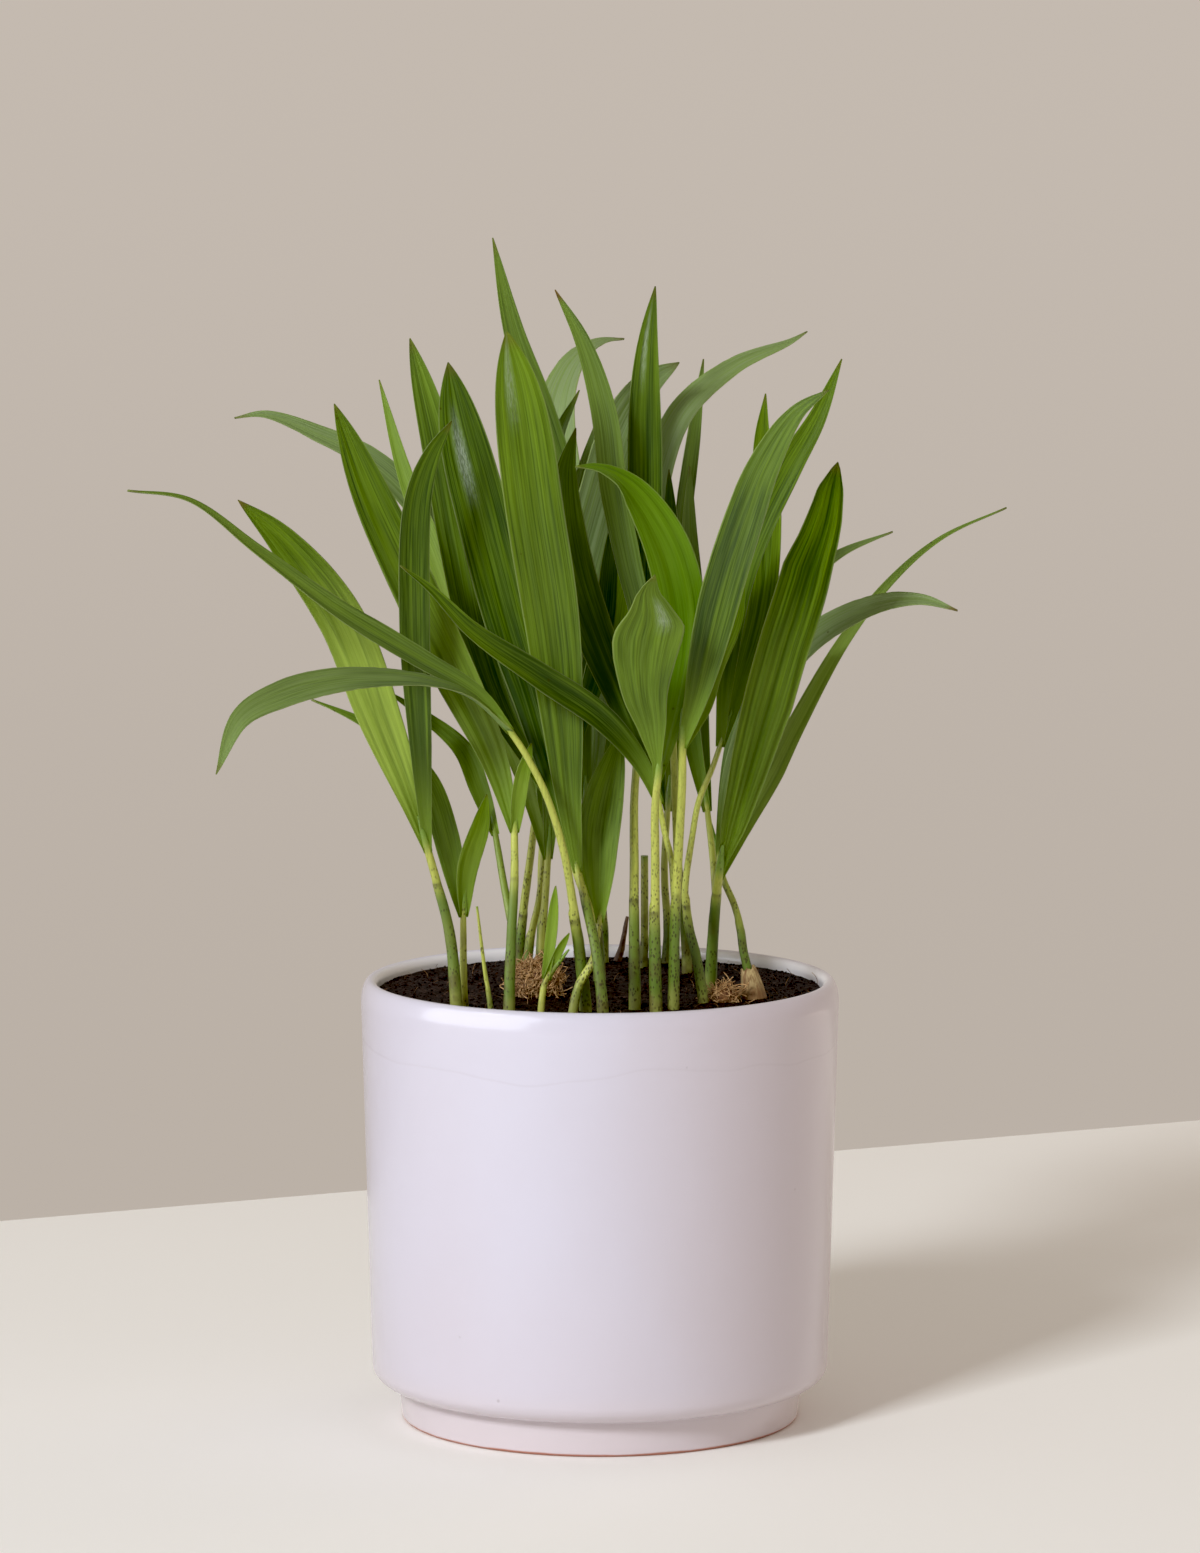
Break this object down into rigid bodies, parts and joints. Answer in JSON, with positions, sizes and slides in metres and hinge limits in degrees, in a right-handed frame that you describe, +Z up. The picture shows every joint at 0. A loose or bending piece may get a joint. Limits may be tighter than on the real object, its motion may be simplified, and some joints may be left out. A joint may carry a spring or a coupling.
{
  "type": "potted areca palm",
  "caption": "Young areca palm: a bushy clump of slender seedlings with two-lobed pleated leaves, standing in soil in a round glazed pot with a stepped foot.",
  "frame": {"origin": "centre of the pot's flat underside, on the surface that it stands on", "axes": "+Z up along the pot's axis; -Y is the front, where the picture was taken from; +X is the viewer's right"},
  "size_m": [0.2487, 0.2228, 0.3463],
  "materials": {
    "pot_glaze": "white glaze, glossy, a little uneven, with an unglazed foot edge",
    "soil": "dark crumbly potting soil",
    "leaf": "satin green leaf with parallel veins, on paler yellow-green stalks",
    "seed_fibre": "tan seed coat covered in loose fibres",
    "husk": "dry papery sheath"
  },
  "bodies": {
    "root": {"leafy_stem_01": "leaf", "leafy_stem_02": "leaf", "leafy_stem_03": "leaf", "leafy_stem_04": "leaf", "leafy_stem_05": "leaf", "leafy_stem_06": "leaf", "leafy_stem_07": "leaf", "leafy_stem_08": "leaf", "leafy_stem_09": "leaf", "leafy_stem_10": "leaf", "leafy_stem_11": "leaf", "leafy_stem_12": "leaf", "leafy_stem_13": "leaf", "leafy_stem_14": "leaf", "leafy_stem_15": "leaf", "leafy_stem_16": "leaf", "leafy_stem_17": "leaf", "leafy_stem_18": "leaf", "leafy_stem_19": "leaf", "leafy_stem_20": "leaf", "leafy_stem_21": "leaf", "pot": "pot_glaze", "soil": "soil", "spear_shoot": "leaf", "cut_stub": "leaf", "dry_stub": "husk", "fibrous_seed": "seed_fibre", "seed_husk": "seed_fibre", "torn_husk": "husk"}
  },
  "joints": []
}
